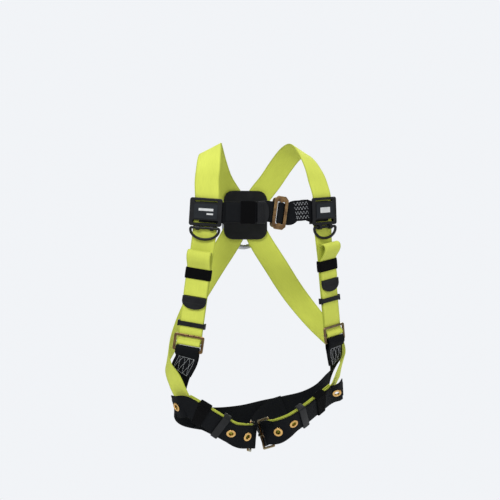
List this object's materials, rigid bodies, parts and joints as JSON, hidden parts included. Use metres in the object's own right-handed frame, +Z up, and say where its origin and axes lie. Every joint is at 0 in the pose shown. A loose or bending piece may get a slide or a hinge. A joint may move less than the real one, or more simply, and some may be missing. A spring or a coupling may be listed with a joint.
{
  "type": "safety harness",
  "caption": "Full-body fall-arrest harness as worn: crossed shoulder straps, back ring, chest strap with mating buckle, sliding adjusters and tongue-buckle leg straps.",
  "frame": {"origin": "on the middle plane of the body, level with the place where the shoulder straps cross the crest of the shoulders", "axes": "+Z up, the wearer faces -Y, the wearer's left is +X"},
  "size_m": [0.3405, 0.2236, 0.5777],
  "materials": {
    "yellow_webbing": "woven polyester webbing, matt, fluorescent yellow",
    "black_webbing": "woven polyester webbing, matt, blue-black",
    "black_plastic": "moulded plastic, satin",
    "elastic": "knitted elastic, matt",
    "bronze": "zinc-plated steel with a bronze-gold tint, worn at the edges",
    "brass": "rolled brass, bright",
    "steel": "forged steel, plated, satin",
    "label": "plain satin label"
  },
  "bodies": {
    "webbing_set": {"shoulder_strap_right": "yellow_webbing", "torso_strap_right": "yellow_webbing", "tail_tab_right": "black_plastic", "adjuster_frame_right": "bronze", "adjuster_bar_right": "steel", "chest_plate_right": "black_plastic", "label_right": "label", "hip_strap_right": "black_webbing", "back_strap_right": "yellow_webbing", "thigh_strap_right": "yellow_webbing", "grommet_buckle_right": "brass", "grommet_inner_right": "brass", "grommet_middle_right": "brass", "grommet_outer_right": "brass", "leg_strap_right": "black_webbing", "leg_buckle_frame_right": "bronze", "shoulder_strap_left": "yellow_webbing", "torso_strap_left": "yellow_webbing", "tail_tab_left": "black_plastic", "adjuster_frame_left": "bronze", "adjuster_bar_left": "steel", "chest_plate_left": "black_plastic", "label_left": "label", "hip_strap_left": "black_webbing", "back_strap_left": "yellow_webbing", "thigh_strap_left": "yellow_webbing", "grommet_buckle_left": "brass", "grommet_inner_left": "brass", "grommet_middle_left": "brass", "grommet_outer_left": "brass", "leg_strap_left": "black_webbing", "leg_buckle_frame_left": "bronze", "seat_strap": "black_webbing", "chest_strap_right": "black_webbing", "chest_strap_left": "black_webbing", "chest_buckle_receiver": "bronze", "chest_strap_tip": "black_plastic", "dorsal_pad": "black_plastic", "dorsal_hub": "black_plastic"},
    "dorsal_ring": {"dorsal_ring": "steel"},
    "lanyard_loop_right": {"lanyard_loop_right": "black_plastic"},
    "lanyard_loop_left": {"lanyard_loop_left": "black_plastic"},
    "elastic_keeper_right": {"elastic_keeper_right": "elastic"},
    "elastic_keeper_left": {"elastic_keeper_left": "elastic"},
    "strap_keeper_right": {"strap_keeper_right": "black_plastic"},
    "strap_keeper_left": {"strap_keeper_left": "black_plastic"},
    "chest_keeper": {"chest_keeper": "elastic"},
    "chest_buckle_plate": {"chest_buckle_plate": "bronze"},
    "leg_tongue_right": {"leg_tongue_right": "bronze"},
    "leg_tongue_left": {"leg_tongue_left": "bronze"},
    "leg_elastic_keeper_right": {"leg_elastic_keeper_right": "elastic"},
    "leg_elastic_keeper_left": {"leg_elastic_keeper_left": "elastic"},
    "leg_strap_keeper_right": {"leg_strap_keeper_right": "black_plastic"},
    "leg_strap_keeper_left": {"leg_strap_keeper_left": "black_plastic"}
  },
  "joints": [
    {"name": "dorsal_ring_hinge", "type": "hinge", "parent": "webbing_set", "child": "dorsal_ring", "pos_m": [0, 0.1022, -0.118], "axis": [1, 0, 0], "range_deg": [0, 160]},
    {"name": "lanyard_loop_right_hinge", "type": "hinge", "parent": "webbing_set", "child": "lanyard_loop_right", "pos_m": [-0.11374, -0.06916, -0.14896], "axis": [-0.9376, 0.3412, 0.0674], "range_deg": [0, 95]},
    {"name": "elastic_keeper_right_slide", "type": "slide", "parent": "webbing_set", "child": "elastic_keeper_right", "axis": [0.1194, -0.1086, 0.9869], "range_m": [-0.015, 0]},
    {"name": "strap_keeper_right_slide", "type": "slide", "parent": "webbing_set", "child": "strap_keeper_right", "axis": [0.1194, -0.1086, 0.9869], "range_m": [-0.006, 0.016]},
    {"name": "leg_tongue_right_hinge", "type": "hinge", "parent": "webbing_set", "child": "leg_tongue_right", "pos_m": [-0.02268, -0.0395, -0.53279], "axis": [-0.142, -0.1168, -0.9829], "range_deg": [0, 1]},
    {"name": "lanyard_loop_left_hinge", "type": "hinge", "parent": "webbing_set", "child": "lanyard_loop_left", "pos_m": [0.11435, -0.0689, -0.14591], "axis": [-0.8965, -0.4373, -0.0711], "range_deg": [0, 95]},
    {"name": "elastic_keeper_left_slide", "type": "slide", "parent": "webbing_set", "child": "elastic_keeper_left", "axis": [-0.1194, -0.1086, 0.9869], "range_m": [-0.015, 0]},
    {"name": "strap_keeper_left_slide", "type": "slide", "parent": "webbing_set", "child": "strap_keeper_left", "axis": [-0.1194, -0.1086, 0.9869], "range_m": [-0.028, 0.004]},
    {"name": "leg_tongue_left_hinge", "type": "hinge", "parent": "webbing_set", "child": "leg_tongue_left", "pos_m": [0.01856, -0.03934, -0.52674], "axis": [-0.1716, 0.2031, 0.964], "range_deg": [0, 1]},
    {"name": "leg_elastic_keeper_right_slide", "type": "slide", "parent": "webbing_set", "child": "leg_elastic_keeper_right", "axis": [-0.8061, 0.2907, 0.5154], "range_m": [-0.002, 0.002]},
    {"name": "leg_strap_keeper_right_slide", "type": "slide", "parent": "webbing_set", "child": "leg_strap_keeper_right", "axis": [-0.8339, 0.1516, 0.5307], "range_m": [-0.002, 0.002]},
    {"name": "leg_elastic_keeper_left_slide", "type": "slide", "parent": "webbing_set", "child": "leg_elastic_keeper_left", "axis": [0.8061, 0.2907, 0.5154], "range_m": [-0.002, 0.002]},
    {"name": "leg_strap_keeper_left_slide", "type": "slide", "parent": "webbing_set", "child": "leg_strap_keeper_left", "axis": [0.8339, 0.1516, 0.5307], "range_m": [-0.002, 0.002]},
    {"name": "chest_keeper_slide", "type": "slide", "parent": "webbing_set", "child": "chest_keeper", "axis": [0.9808, -0.1951, 0], "range_m": [-0.003, 0.001]},
    {"name": "chest_buckle_hinge", "type": "hinge", "parent": "webbing_set", "child": "chest_buckle_plate", "pos_m": [0.01806, -0.10746, -0.12145], "axis": [0.1386, 0.012, 0.9903], "range_deg": [0, 5]}
  ]
}
